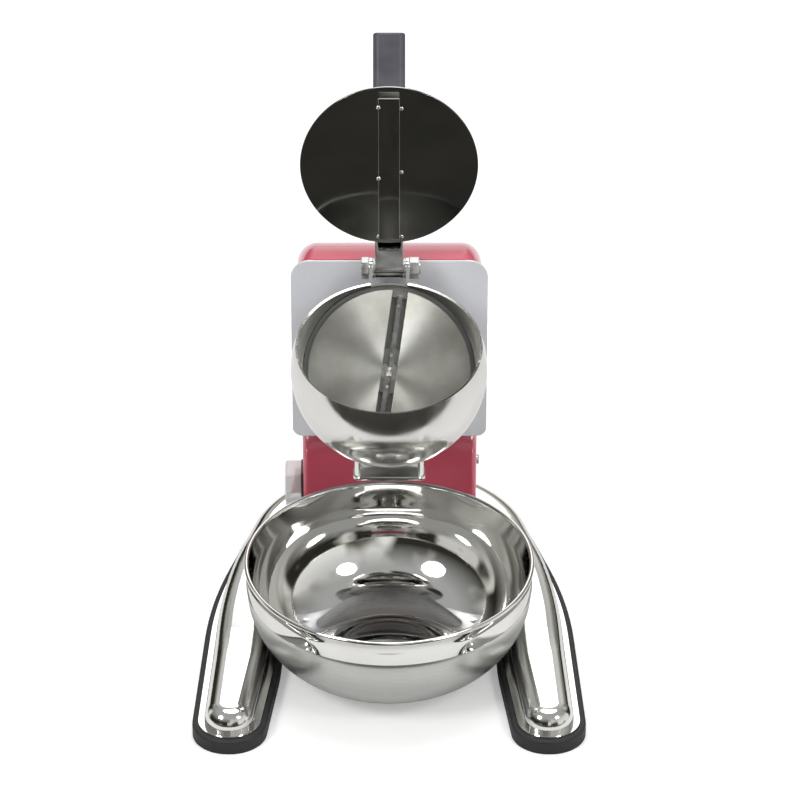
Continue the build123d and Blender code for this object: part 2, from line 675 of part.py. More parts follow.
with BuildPart() as press_lever:
    with BuildSketch(Plane.YZ):
        lever_outline()
        with Locations((hinge_y, hinge_z)):
            Circle(lug)
    extrude(amount=lever_half, both=True)
    # hollow between the flanges, open towards the lid but closed in front of the hinge bolt
    lower_cut = (lever_depth - lever_wall) * sin(bend / 2) / cos(bend / 2)
    inner_rear = web_rear - lever_wall
    skin_back = hinge_y - lug + lever_wall
    skin_top = hinge_z + lid_reach - lid_radius
    with BuildSketch(Plane.YZ):
        with BuildLine():
            Polyline(
                (skin_back, hinge_z - 2 * lug), (inner_rear, hinge_z - 2 * lug),
                (inner_rear, bend_z - lower_cut), arm_point(arm_length + 1, lever_depth - lever_wall),
                arm_point(arm_length + 1, -lever_depth), arm_point(0, -lever_depth),
                (lid_front - lever_wall, bend_z), (lid_front - lever_wall, skin_top + lever_wall),
                (lid_rear, skin_top + lever_wall), (skin_back, hinge_z), close=True,
            )
        make_face()
    extrude(amount=lever_half - lever_wall, both=True, mode=Mode.SUBTRACT)
    with BuildSketch(Plane.YZ):
        with Locations((hinge_y, hinge_z)):
            Circle(bush_radius)
    extrude(amount=lever_half, both=True, mode=Mode.SUBTRACT)

with BuildPart() as press_plate:
    with BuildSketch(Plane.XZ.offset(-lid_front)):
        with Locations((0, lid_z)):
            Circle(lid_radius)
    extrude(amount=-lid_thick)

with BuildPart() as press_rib:
    rib_length = 2 * (lid_radius - rib_margin)
    with BuildSketch(Plane.XZ.offset(-lid_front)):
        with Locations((0, lid_z)):
            Rectangle(2 * rib_half, rib_length)
    extrude(amount=rib_depth)
    with BuildSketch(Plane.XZ.offset(-lid_front)):
        with Locations((0, lid_z)):
            Rectangle(2 * (rib_half - rib_wall), rib_length - 2 * rib_wall)
    extrude(amount=rib_depth - rib_wall, mode=Mode.SUBTRACT)

grip_plane = Plane(
    origin=(0, arm_point(grip_start, lever_depth / 2).X, arm_point(grip_start, lever_depth / 2).Y),
    x_dir=(1, 0, 0), z_dir=(0, arm_along.X, arm_along.Y))
with BuildPart() as lever_grip:
    with BuildSketch(grip_plane):
        RectangleRounded(2 * grip_half, grip_depth, grip_edge)
    extrude(amount=grip_end - grip_start)
    fillet(lever_grip.faces().sort_by(lambda f: f.center().Z)[-1].edges(), soft_edge)
    with BuildSketch(grip_plane):
        Rectangle(2 * lever_half, lever_depth)
    extrude(amount=arm_length - grip_start, mode=Mode.SUBTRACT)

# ---------------------------------------------------------------- blade disc
slot_turn = Location((0, 0, 0), (0, 0, -slot_lean))
disc_back = disc_front + disc_thick
shaft_start = disc_back + shaft_seat
with BuildPart() as blade_disc:
    with BuildSketch(across_spindle(disc_front)):
        Circle(disc_radius)
        with Locations(slot_turn):
            Rectangle(slot_width, 2 * disc_radius + 2, mode=Mode.SUBTRACT)
    extrude(amount=-disc_thick)
    with BuildSketch(across_spindle(disc_back)):
        Circle(disc_radius)
        Circle(disc_radius - rim_ring, mode=Mode.SUBTRACT)
        with Locations(slot_turn):
            Rectangle(blade_width, 2 * disc_radius - rim_ring)
    extrude(amount=-back_web)
    with BuildSketch(across_spindle(disc_back)):
        Circle(hub_radius)
    extrude(amount=-hub_length)
    with BuildSketch(across_spindle(shaft_start)):
        Circle(shaft_radius)
    extrude(amount=-hub_length, mode=Mode.SUBTRACT)
    pin_along = disc_back + hub_length / 2
    with BuildSketch(Plane.YZ.offset(-hub_radius)):
        pin_centre = ball_centre + into_body * pin_along
        with Locations((pin_centre.Y, pin_centre.Z)):
            Circle(pin_radius)
    extrude(amount=2 * hub_radius, mode=Mode.SUBTRACT)
    screw_spots = [(0, side * r) for r in (blade_screw_inner, blade_screw_outer) for side in (-1, 1)]
    with BuildSketch(across_spindle(disc_back)):
        with Locations(slot_turn):
            with Locations(*screw_spots):
                Circle(blade_screw_r)
    extrude(amount=-back_web, mode=Mode.SUBTRACT)


def blade(side):
    # cutter in the slot, screwed to the bar behind it, its edge standing proud of the disc
    with BuildPart() as cutter:
        with BuildSketch(across_spindle(disc_front - blade_proud)):
            with Locations(slot_turn):
                with Locations((0, side * (blade_inner + blade_outer) / 2)):
                    Rectangle(blade_width, blade_outer - blade_inner)
        extrude(amount=-(disc_thick + blade_proud))
        front_face = cutter.faces().sort_by(lambda f: f.center().dot(into_body))[0]
        long_edges = front_face.edges().sort_by(lambda e: e.length)[-2:]
        chamfer(long_edges.sort_by(Axis.X)[0 if side > 0 else -1], blade_bevel)
        with BuildSketch(across_spindle(disc_front - blade_proud)):
            with Locations(slot_turn):
                with Locations(*[spot for spot in screw_spots if spot[1] * side > 0]):
                    Circle(blade_screw_r)
        extrude(amount=-(disc_thick + blade_proud), mode=Mode.SUBTRACT)
    return cutter.part


blade_upper, blade_lower = blade(1), blade(-1)
with BuildPart() as blade_screws:
    with BuildSketch(across_spindle(disc_front - blade_proud)):
        with Locations(slot_turn):
            with Locations(*screw_spots):
                Circle(blade_screw_r)
    extrude(amount=-(disc_thick + blade_proud + back_web))
    with BuildSketch(across_spindle(disc_back + back_web)):
        with Locations(slot_turn):
            with Locations(*screw_spots[2:]):
                RegularPolygon(2 * blade_screw_r, 6, major_radius=False)
    extrude(amount=-blade_nut)

with BuildPart() as hub_pin:
    with BuildSketch(Plane.YZ.offset(-hub_radius + 1)):
        with Locations((pin_centre.Y, pin_centre.Z)):
            Circle(pin_radius)
    extrude(amount=2 * hub_radius - 2)

with BuildPart() as drive_shaft:
    with BuildSketch(across_spindle(shaft_start)):
        Circle(shaft_radius)
    extrude(amount=-(shaft_end - shaft_start))
    with BuildSketch(Plane.YZ.offset(-hub_radius)):
        with Locations((pin_centre.Y, pin_centre.Z)):
            Circle(pin_radius)
    extrude(amount=2 * hub_radius, mode=Mode.SUBTRACT)


def ring(start, length, outer, inner):
    # turned ring on the spindle's line
    with BuildPart() as turned:
        with BuildSketch(across_spindle(start)):
            Circle(outer)
            Circle(inner, mode=Mode.SUBTRACT)
        extrude(amount=-length)
    return turned.part


shaft_seal = ring(seal_start, seal_width, seal_radius, shaft_radius + running)
nose_bearing = ring(bearing_start, bearing_width, bearing_radius, shaft_radius + running)
rear_bearing = ring(motor_end - bearing_width, bearing_width, bearing_radius, shaft_radius + running)

# ---------------------------------------------------------------- spindle housing and motor
tie_places = [(tie_circle * cos(a), tie_circle * sin(a)) for a in quarters]
housing_in = housing_radius - housing_wall
with BuildPart() as spindle_housing:
    with BuildSketch(Plane.XZ.offset(-body_front_y)):
        with Locations((0, centre_z)):
            RectangleRounded(mount_width, mount_height, 2 * mount_thick)
        with Locations(*mount_places):
            Circle(mount_bolt_r, mode=Mode.SUBTRACT)
    extrude(amount=-mount_thick)
    with BuildSketch(across_spindle(chamber_end)):
        Circle(housing_radius)
    extrude(amount=-(motor_start - chamber_end))
    with BuildSketch(across_spindle(motor_start)):
        Circle(adaptor_radius)
        with Locations(*tie_places):
            Circle(lug_radius)
        with PolarLocations(tie_circle - lug_radius, len(tie_places), start_angle=45):
            Rectangle(2 * lug_radius, 2 * lug_radius)
    extrude(amount=adaptor_thick)
    with BuildSketch(across_spindle(motor_start)):
        Circle(housing_in)
    extrude(amount=motor_start - chamber_end - nose_thick, mode=Mode.SUBTRACT)
    with BuildSketch(across_spindle(chamber_end)):
        Circle(nose_flange)
        with Locations(*nose_places):
            Circle(nose_screw_r, mode=Mode.SUBTRACT)
    extrude(amount=-nose_thick)
    with BuildSketch(across_spindle(chamber_end)):
        Circle(bearing_radius + boss_wall)
    extrude(amount=-(bearing_start + bearing_width - chamber_end))
    with BuildSketch(across_spindle(chamber_end)):
        Circle(shaft_radius + shaft_clear)
    extrude(amount=-bearing_start, mode=Mode.SUBTRACT)
    with BuildSketch(across_spindle(chamber_end)):
        Circle(seal_radius)
    extrude(amount=-(seal_start + seal_width - chamber_end), mode=Mode.SUBTRACT)
    with BuildSketch(across_spindle(bearing_start)):
        Circle(bearing_radius)
    extrude(amount=-bearing_width, mode=Mode.SUBTRACT)
    with BuildSketch(across_spindle(motor_start)):
        with Locations(*tie_places):
            Circle(tie_radius)
    extrude(amount=adaptor_thick, mode=Mode.SUBTRACT)


def end_cap(start, bore):
    # motor end cap with four lugs for the tie bolts
    with BuildPart() as cap:
        with BuildSketch(across_spindle(start)):
            Circle(motor_radius)
            with Locations(*tie_places):
                Circle(lug_radius)
                Circle(tie_radius, mode=Mode.SUBTRACT)
            Circle(bore, mode=Mode.SUBTRACT)
        extrude(amount=-cap_thick)
    return cap.part


motor_front_cap = end_cap(motor_start, shaft_radius + shaft_clear)
motor_rear_cap = end_cap(motor_end - cap_thick, bearing_radius)
motor_casing = ring(casing_start, casing_end - casing_start, motor_radius, motor_radius - motor_wall)
stator_core = ring(core_start, core_length, motor_radius - motor_wall, core_inner)
rotor = ring(core_start, core_length, core_inner - air_gap, shaft_radius)

with BuildPart() as stator_windings:
    winding_mid = (motor_radius - motor_wall + core_inner) / 2
    for start in (core_start - winding_length + gap, core_start + core_length):
        with BuildSketch(across_spindle(start)):
            Circle(winding_mid + winding_wall / 2)
            Circle(winding_mid - winding_wall / 2, mode=Mode.SUBTRACT)
        extrude(amount=-(winding_length - gap))

with BuildPart() as tie_bolts:
    with BuildSketch(across_spindle(motor_start - adaptor_thick)):
        with Locations(*tie_places):
            Circle(tie_radius)
    extrude(amount=-(motor_end - motor_start + adaptor_thick))
    with BuildSketch(across_spindle(motor_end)):
        with Locations(*tie_places):
            RegularPolygon(tie_head_flat / 2, 6, major_radius=False)
    extrude(amount=-tie_head)

with BuildPart() as cooling_fan:
    with BuildSketch(across_spindle(fan_start)):
        Circle(fan_radius)
    extrude(amount=-sheet)
    with BuildSketch(across_spindle(fan_start)):
        Circle(2 * shaft_radius)
        with PolarLocations((fan_radius + shaft_radius) / 2, fan_blades):
            Rectangle(fan_radius - shaft_radius - 1, sheet)
    extrude(amount=-fan_thick)
    with BuildSketch(across_spindle(fan_start)):
        Circle(shaft_radius)
    extrude(amount=-fan_thick, mode=Mode.SUBTRACT)

# ---------------------------------------------------------------- bolts through the front plate
with BuildPart() as mount_bolts:
    with BuildSketch(Plane.XZ.offset(-plate_y)):
        with Locations(*mount_places):
            RegularPolygon(mount_bolt_flat / 2, 6, major_radius=False)
    extrude(amount=mount_bolt_head)
    with BuildSketch(Plane.XZ.offset(-plate_y)):
        with Locations(*mount_places):
            Circle(mount_bolt_r)
    extrude(amount=-(plate_thick + mount_thick + mount_bolt_head + 2 * thread_past))

with BuildPart() as mount_nuts:
    with BuildSketch(Plane.XZ.offset(-body_front_y - mount_thick)):
        with Locations(*mount_places):
            RegularPolygon(mount_bolt_flat / 2, 6, major_radius=False)
            Circle(mount_bolt_r, mode=Mode.SUBTRACT)
    extrude(amount=-mount_bolt_head)

# ---------------------------------------------------------------- switch
wall_x = -neck_half
bezel_x = wall_x - bezel_thick
with BuildPart() as switch_body:
    with BuildSketch(Plane.YZ.offset(wall_x)):
        with Locations((switch_y, switch_z)):
            RectangleRounded(bezel_depth_y, bezel_height, bezel_corner)
    extrude(amount=-bezel_thick)
    with BuildSketch(Plane.YZ.offset(wall_x)):
        with Locations((switch_y, switch_z)):
            Rectangle(switch_cut_y, switch_cut_z)
    extrude(amount=switch_body_depth)
    with BuildSketch(Plane.YZ.offset(bezel_x)):
        with Locations((switch_y, switch_z)):
            Rectangle(rocker_y + 4 * gap, 2 * rocker_room)
    extrude(amount=bezel_thick + rocker_room, mode=Mode.SUBTRACT)
    # pivot pins for the rocker, one from each side of the pocket
    with BuildSketch(Plane.XZ.offset(-switch_y)):
        with Locations((wall_x + rocker_pivot, switch_z)):
            Circle(pin_radius / 2)
    extrude(amount=rocker_y / 2 + 2 * gap, both=True)

with BuildPart() as switch_rocker:
    with BuildSketch(Plane.XZ.offset(-switch_y)):
        with BuildLine():
            Polyline(
                (wall_x + rocker_back, switch_z + rocker_base),
                (wall_x - rocker_proud, switch_z + rocker_half),
                (wall_x - rocker_proud + rocker_dip, switch_z),
                (wall_x - rocker_proud, switch_z - rocker_half),
                (wall_x + rocker_back, switch_z - rocker_base), close=True,
            )
        make_face()
        with Locations((wall_x + rocker_pivot, switch_z)):
            Circle(pin_radius / 2 + running, mode=Mode.SUBTRACT)
    extrude(amount=rocker_y / 2, both=True)
rocker_axis = Axis((wall_x + rocker_pivot, switch_y, switch_z), (0, 1, 0))
rocker_at_rest = switch_rocker.part.rotate(rocker_axis, rocker_tilt)

with BuildPart() as switch_cover:
    with BuildSketch(Plane.YZ.offset(bezel_x)):
        with Locations((switch_y, switch_z)):
            RectangleRounded(bezel_depth_y - cover_margin, bezel_height - cover_margin, cover_corner)
    extrude(amount=-cover_depth)
    fillet(switch_cover.faces().sort_by(Axis.X)[0].edges(), cover_edge)
    with BuildSketch(Plane.YZ.offset(bezel_x)):
        with Locations((switch_y, switch_z)):
            inner_depth_y = bezel_depth_y - cover_margin - 2 * cover_wall
            inner_height = bezel_height - cover_margin - 2 * cover_wall
            RectangleRounded(inner_depth_y, inner_height, cover_corner - cover_wall)
    extrude(amount=-(cover_depth - cover_wall), mode=Mode.SUBTRACT)

# ---------------------------------------------------------------- capacitor and its clip
with BuildPart() as run_capacitor:
    with BuildSketch(Plane.XY.offset(platform_top + 2 * sheet)):
        with Locations((capacitor_x, capacitor_y)):
            Circle(capacitor_radius)
    extrude(amount=capacitor_length)
    fillet(run_capacitor.faces().sort_by(Axis.Z)[-1].edges(), soft_edge)

wall_in = neck_half - sheet
with BuildPart() as capacitor_clip:
    with BuildSketch(Plane.XY.offset(clip_low)):
        with Locations((capacitor_x, capacitor_y)):
            Circle(capacitor_radius + clip_wall)
        with Locations(((capacitor_x + wall_in) / 2, capacitor_y)):
            Rectangle(wall_in - capacitor_x, 2 * clip_wall)
        with Locations((capacitor_x, capacitor_y)):
            Circle(capacitor_radius, mode=Mode.SUBTRACT)
    extrude(amount=clip_height)
    tab_front = side_screw_y - side_screw_head - clip_margin
    tab_height = side_screw_z + side_screw_head + clip_margin - clip_low
    with BuildSketch(Plane.YZ.offset(wall_in - clip_wall)):
        with Locations(((tab_front + capacitor_y + clip_wall) / 2, clip_low + tab_height / 2)):
            Rectangle(capacitor_y + clip_wall - tab_front, tab_height)
        with Locations((side_screw_y, side_screw_z)):
            Circle(side_screw_r, mode=Mode.SUBTRACT)
    extrude(amount=clip_wall)

with BuildPart() as side_screw:
    with BuildSketch(Plane.YZ.offset(neck_half)):
        with Locations((side_screw_y, side_screw_z)):
            Circle(side_screw_head)
    extrude(amount=side_screw_thick)
    fillet(side_screw.faces().sort_by(Axis.X)[-1].edges(), side_screw_edge)
    with BuildSketch(Plane.YZ.offset(neck_half)):
        with Locations((side_screw_y, side_screw_z)):
            Circle(side_screw_r)
    extrude(amount=-(sheet + clip_wall + side_nut + thread_past))

with BuildPart() as side_nut_piece:
    with BuildSketch(Plane.YZ.offset(wall_in - clip_wall)):
        with Locations((side_screw_y, side_screw_z)):
            RegularPolygon(side_nut_flat / 2, 6, major_radius=False)
            Circle(side_screw_r, mode=Mode.SUBTRACT)
    extrude(amount=-side_nut)

# ---------------------------------------------------------------- cable gland
gland_plane = Plane(origin=(0, gland_y, gland_z), x_dir=(1, 0, 0), z_dir=gland_normal)
with BuildPart() as cable_gland:
    with BuildSketch(gland_plane):
        RegularPolygon(gland_flat / 2, 6, major_radius=False)
    extrude(amount=gland_hex)
    with BuildSketch(gland_plane):
        Circle(gland_cap)
    extrude(amount=gland_reach)
    fillet(cable_gland.edges().filter_by(GeomType.CIRCLE).sort_by(lambda e: e.center().Y)[-1], soft_edge)
    with BuildSketch(gland_plane):
        Circle(gland_radius)
    extrude(amount=-gland_inside)
    with BuildSketch(gland_plane.offset(-gland_inside)):
        Circle(gland_bore)
    extrude(amount=gland_inside + gland_reach, mode=Mode.SUBTRACT)

with BuildPart() as gland_nut:
    with BuildSketch(gland_plane.offset(-sheet - 3 * gap)):
        RegularPolygon(gland_flat / 2, 6, major_radius=False)
        Circle(gland_radius, mode=Mode.SUBTRACT)
    extrude(amount=-gland_nut_thick)

# ---------------------------------------------------------------- bolts under the body
with BuildPart() as body_bolts:
    with BuildSketch(Plane.XY.offset(platform_top - sheet)):
        with Locations(*body_places):
            RegularPolygon(body_bolt_flat / 2, 6, major_radius=False)
    extrude(amount=-body_bolt_head)
    with BuildSketch(Plane.XY.offset(platform_top - sheet)):
        with Locations(*body_places):
            Circle(body_bolt_r)
    extrude(amount=2 * sheet + body_bolt_head + thread_past)

with BuildPart() as body_nuts:
    with BuildSketch(Plane.XY.offset(platform_top + sheet)):
        with Locations(*body_places):
            RegularPolygon(body_bolt_flat / 2, 6, major_radius=False)
            Circle(body_bolt_r, mode=Mode.SUBTRACT)
    extrude(amount=body_bolt_head)

# ---------------------------------------------------------------- write every piece
pieces = {
    "base_sole": base_sole.part, "base_shell": base_shell.part, "foot_screws": foot_screws.part,
    "body_bolts": body_bolts.part, "body_nuts": body_nuts.part, "main_housing": main_housing.part,
    "front_plate": front_plate.part, "plate_nuts": plate_nuts.part, "mount_bolts": mount_bolts.part,
    "mount_nuts": mount_nuts.part, "hopper": hopper.part, "hopper_screws": hopper_screws.part,
    "hopper_nuts": hopper_nuts.part, "chute": chute.part, "hinge_ear_left": ear_left,
    "hinge_ear_right": ear_right, "hinge_bolt": hinge_bolt.part, "hinge_nut": hinge_nut.part,
    "hinge_washers": hinge_washers.part, "lever_bush": lever_bush.part, "press_lever": press_lever.part,
    "press_plate": press_plate.part, "press_rib": press_rib.part, "lever_grip": lever_grip.part,
    "blade_disc": blade_disc.part, "blade_upper": blade_upper, "blade_lower": blade_lower,
    "blade_screws": blade_screws.part, "hub_pin": hub_pin.part, "drive_shaft": drive_shaft.part,
    "shaft_seal": shaft_seal, "nose_bearing": nose_bearing, "rear_bearing": rear_bearing,
    "spindle_housing": spindle_housing.part, "motor_front_cap": motor_front_cap,
    "motor_rear_cap": motor_rear_cap, "motor_casing": motor_casing, "stator_core": stator_core,
    "stator_windings": stator_windings.part, "rotor": rotor, "tie_bolts": tie_bolts.part,
    "cooling_fan": cooling_fan.part, "switch_body": switch_body.part, "switch_rocker": rocker_at_rest,
    "switch_cover": switch_cover.part, "run_capacitor": run_capacitor.part,
    "capacitor_clip": capacitor_clip.part, "side_screw": side_screw.part,
    "side_nut": side_nut_piece.part, "cable_gland": cable_gland.part, "gland_nut": gland_nut.part,
    "bowl": bowl.part,
}
for name, piece in pieces.items():
    piece.label = name
    export_step(piece, f"parts/{name}.step")
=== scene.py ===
import json
from math import asin, atan2, cos, degrees, pi, radians, sin, sqrt

import bmesh
import bpy
from mathutils import Matrix, Vector
from mathutils.bvhtree import BVHTree


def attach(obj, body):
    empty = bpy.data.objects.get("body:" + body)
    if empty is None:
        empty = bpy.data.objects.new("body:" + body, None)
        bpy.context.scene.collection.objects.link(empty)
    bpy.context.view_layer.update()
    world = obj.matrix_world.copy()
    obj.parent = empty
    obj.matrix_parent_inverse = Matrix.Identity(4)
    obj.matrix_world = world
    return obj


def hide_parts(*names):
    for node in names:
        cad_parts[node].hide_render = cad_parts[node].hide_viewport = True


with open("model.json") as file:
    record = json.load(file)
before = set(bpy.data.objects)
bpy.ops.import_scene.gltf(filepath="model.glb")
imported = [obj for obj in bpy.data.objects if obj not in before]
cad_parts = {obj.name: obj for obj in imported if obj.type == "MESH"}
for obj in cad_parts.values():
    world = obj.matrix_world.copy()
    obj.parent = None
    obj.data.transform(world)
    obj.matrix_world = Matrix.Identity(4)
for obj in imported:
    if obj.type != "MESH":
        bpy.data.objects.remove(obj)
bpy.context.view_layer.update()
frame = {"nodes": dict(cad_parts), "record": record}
nodes = frame["nodes"]
mm = 0.001
print("frame loaded:", len(nodes), "nodes")

# camera: long lens, looking down on the machine from the front
camera = {"place": (8.9, -3112.5, 2173.0), "pitch": 32.3, "lens": 200.25, "sensor": 36.0, "reach": 50}


def placeCamera():
    data = bpy.data.cameras.new("photoCamera")
    data.lens = camera["lens"]
    data.sensor_width = camera["sensor"]
    data.clip_end = camera["reach"]
    seen = bpy.data.objects.new("photoCamera", data)
    seen.location = Vector(camera["place"]) * mm
    seen.rotation_euler = (radians(90 - camera["pitch"]), 0, 0)
    bpy.context.collection.objects.link(seen)
    bpy.context.scene.camera = seen


placeCamera()

# studio: pale floor, a dim room with bright panels round it, round soft lights left, right, above and behind
studio = {"floor": 0.84, "strength": 0.9, "dim": (0.035, 0.034, 0.026), "middle": (0.42, 0.41, 0.37),
          "bright": (1.0, 1.0, 0.98), "patches": 1.7, "overhead": 0.5,
          "squash": 0.45, "steps": (0.44, 0.52, 0.62), "rise": (0.35, 0.8),
          "lights": [("topSoft", (0.1, 0.5, 2.3), (0, 0, 0.2), 1.5, 24),
                     ("leftSoft", (-1.25, -1.15, 1.7), (0, 0, 0.2), 0.75, 19),
                     ("rightSoft", (1.2, -1.15, 1.7), (0, 0, 0.2), 0.6, 10),
                     ("backSoft", (0, 2.3, 1.8), (0, 0.1, 0.3), 1.2, 6)]}


def lightStudio():
    scene = bpy.context.scene
    scene.view_settings.view_transform = "Standard"
    world = bpy.data.worlds.new("paleStudio")
    scene.world = world
    world.use_nodes = True
    tree = world.node_tree
    tree.nodes.clear()
    out = tree.nodes.new("ShaderNodeOutputWorld")
    around = tree.nodes.new("ShaderNodeBackground")
    around.inputs["Strength"].default_value = studio["strength"]
    # walls in patches of dark and light, turning bright overhead
    look = tree.nodes.new("ShaderNodeTexCoord")
    split = tree.nodes.new("ShaderNodeSeparateXYZ")
    tree.links.new(look.outputs["Generated"], split.inputs[0])
    squash = tree.nodes.new("ShaderNodeMapping")
    squash.inputs["Scale"].default_value = (1, 1, studio["squash"])
    patches = tree.nodes.new("ShaderNodeTexNoise")
    patches.inputs["Scale"].default_value = studio["patches"]
    patches.inputs["Detail"].default_value = 2.0
    tree.links.new(look.outputs["Generated"], squash.inputs["Vector"])
    tree.links.new(squash.outputs["Vector"], patches.inputs["Vector"])
    walls = tree.nodes.new("ShaderNodeValToRGB")
    walls.color_ramp.elements[0].position = studio["steps"][0]
    walls.color_ramp.elements[0].color = (*studio["dim"], 1)
    walls.color_ramp.elements[1].position = studio["steps"][2]
    walls.color_ramp.elements[1].color = (*studio["bright"], 1)
    step = walls.color_ramp.elements.new(studio["steps"][1])
    step.color = (*studio["middle"], 1)
    tree.links.new(patches.outputs["Fac"], walls.inputs[0])
    rise = tree.nodes.new("ShaderNodeMapRange")
    rise.inputs["From Min"].default_value = studio["rise"][0]
    rise.inputs["From Max"].default_value = studio["rise"][1]
    tree.links.new(split.outputs["Z"], rise.inputs["Value"])
    ceiling = tree.nodes.new("ShaderNodeMixRGB")
    ceiling.inputs["Color2"].default_value = (studio["overhead"],) * 3 + (1,)
    tree.links.new(rise.outputs[0], ceiling.inputs["Fac"])
    tree.links.new(walls.outputs[0], ceiling.inputs["Color1"])
    tree.links.new(ceiling.outputs[0], around.inputs["Color"])
    seen = tree.nodes.new("ShaderNodeBackground")
    seen.inputs["Color"].default_value = (1, 1, 1, 1)
    path = tree.nodes.new("ShaderNodeLightPath")
    mix = tree.nodes.new("ShaderNodeMixShader")
    tree.links.new(path.outputs["Is Camera Ray"], mix.inputs[0])
    tree.links.new(around.outputs[0], mix.inputs[1])
    tree.links.new(seen.outputs[0], mix.inputs[2])
    tree.links.new(mix.outputs[0], out.inputs[0])
    for name, place, target, size, power in studio["lights"]:
        data = bpy.data.lights.new(name, "AREA")
        data.shape = "DISK"
        data.size = size
        data.energy = power
        lamp = bpy.data.objects.new(name, data)
        lamp.location = place
        lamp.rotation_euler = (Vector(target) - Vector(place)).to_track_quat("-Z", "Y").to_euler()
        bpy.context.collection.objects.link(lamp)


lightStudio()
print("camera and light in place")

# floor and the dark cloth in front, which only the polished steel sees
floor = {"half": 3.0, "cloth": ((-0.9, 0.9), (-1.6, -0.30)), "clothLift": 0.001, "lift": 0.3}


def flatSheet(name, spanX, spanY, height, finish):
    mesh = bpy.data.meshes.new(name)
    corners = [(x, y, height) for x, y in ((spanX[0], spanY[0]), (spanX[1], spanY[0]),
                                           (spanX[1], spanY[1]), (spanX[0], spanY[1]))]
    mesh.from_pydata(corners, [], [(0, 1, 2, 3)])
    mesh.materials.append(finish)
    sheet = bpy.data.objects.new(name, mesh)
    bpy.context.collection.objects.link(sheet)
    return sheet


def newFinish(name, colour, metallic=0.0, roughness=0.5):
    finish = bpy.data.materials.new(name)
    finish.use_nodes = True
    shader = finish.node_tree.nodes["Principled BSDF"]
    shader.inputs["Base Color"].default_value = (*colour, 1)
    shader.inputs["Metallic"].default_value = metallic
    shader.inputs["Roughness"].default_value = roughness
    return finish, finish.node_tree, shader


def grain(tree, scale, stretch=(1, 1, 1), detail=3.0, turn=(0, 0, 0)):
    # noise in the piece's own coordinates, drawn out along the brush marks
    place = tree.nodes.new("ShaderNodeTexCoord")
    mapping = tree.nodes.new("ShaderNodeMapping")
    mapping.inputs["Scale"].default_value = stretch
    mapping.inputs["Rotation"].default_value = [radians(a) for a in turn]
    noise = tree.nodes.new("ShaderNodeTexNoise")
    noise.inputs["Scale"].default_value = scale
    noise.inputs["Detail"].default_value = detail
    tree.links.new(place.outputs["Object"], mapping.inputs["Vector"])
    tree.links.new(mapping.outputs["Vector"], noise.inputs["Vector"])
    return noise.outputs["Fac"]


def tinted(tree, shader, source, dark, light, low=0.3, high=0.7):
    # colour that wanders between two tones
    ramp = tree.nodes.new("ShaderNodeValToRGB")
    ramp.color_ramp.elements[0].position = low
    ramp.color_ramp.elements[0].color = (*dark, 1)
    ramp.color_ramp.elements[1].position = high
    ramp.color_ramp.elements[1].color = (*light, 1)
    tree.links.new(source, ramp.inputs[0])
    tree.links.new(ramp.outputs[0], shader.inputs["Base Color"])


def varied(tree, shader, source, low, high, socket="Roughness"):
    span = tree.nodes.new("ShaderNodeMapRange")
    span.inputs["From Min"].default_value = 0.3
    span.inputs["From Max"].default_value = 0.7
    span.inputs["To Min"].default_value = low
    span.inputs["To Max"].default_value = high
    tree.links.new(source, span.inputs["Value"])
    tree.links.new(span.outputs[0], shader.inputs[socket])


def raised(tree, shader, source, strength, distance):
    bump = tree.nodes.new("ShaderNodeBump")
    bump.inputs["Strength"].default_value = strength
    bump.inputs["Distance"].default_value = distance
    tree.links.new(source, bump.inputs["Height"])
    tree.links.new(bump.outputs[0], shader.inputs["Normal"])


def polishedSteel(name, tone=0.76, smooth=0.05, dull=0.13, ripple=0.05):
    # buffed stainless: soft smears in the gloss and a faint ripple in the sheet
    finish, tree, shader = newFinish(name, (tone, tone, tone * 0.975), 1.0, smooth)
    smears = grain(tree, 14, (1, 1, 1), 5)
    tinted(tree, shader, smears, (tone * 0.93, tone * 0.92, tone * 0.88), (tone, tone, tone * 0.98))
    varied(tree, shader, grain(tree, 60, (1, 1, 0.3), 4), smooth, dull)
    raised(tree, shader, grain(tree, 22, (1, 1, 1), 1), ripple, 0.0006)
    return finish


def brushedSteel(name, tone=0.62, stretch=(1, 1, 40), rough=(0.24, 0.36), lift=0.12, scale=90):
    finish, tree, shader = newFinish(name, (tone, tone, tone * 0.98), 1.0, rough[0])
    marks = grain(tree, scale, stretch, 5)
    tinted(tree, shader, marks, (tone * 0.8, tone * 0.8, tone * 0.77), (tone, tone, tone * 0.98))
    varied(tree, shader, marks, rough[0], rough[1])
    raised(tree, shader, marks, lift, 0.0002)
    return finish


def turnedSteel(name, tone=0.6, roughness=0.27, streak=0.85):
    # face turned on a lathe: rings of fine marks, so the light draws two fans across it
    finish, tree, shader = newFinish(name, (tone, tone, tone * 0.96), 1.0, roughness)
    tangent = tree.nodes.new("ShaderNodeTangent")
    tangent.direction_type = "RADIAL"
    tangent.axis = "Z"
    tree.links.new(tangent.outputs[0], shader.inputs["Tangent"])
    shader.inputs["Anisotropic"].default_value = streak
    stains = grain(tree, 30, (1, 1, 1), 6)
    tinted(tree, shader, stains, (tone * 0.72, tone * 0.7, tone * 0.62), (tone, tone, tone * 0.95))
    varied(tree, shader, grain(tree, 200, (1, 1, 1), 3), roughness - 0.05, roughness + 0.08)
    return finish


def enamel(name, dark, light, roughness=0.12):
    # baked gloss paint with a faint orange peel
    finish, tree, shader = newFinish(name, light, 0.0, roughness)
    tinted(tree, shader, grain(tree, 9, (1, 1, 1), 3), dark, light)
    varied(tree, shader, grain(tree, 50, (1, 1, 1), 4), roughness, roughness + 0.08)
    raised(tree, shader, grain(tree, 900, (1, 1, 1), 2), 0.05, 0.0002)
    shader.inputs["Coat Weight"].default_value = 0.6
    shader.inputs["Coat Roughness"].default_value = 0.05
    return finish


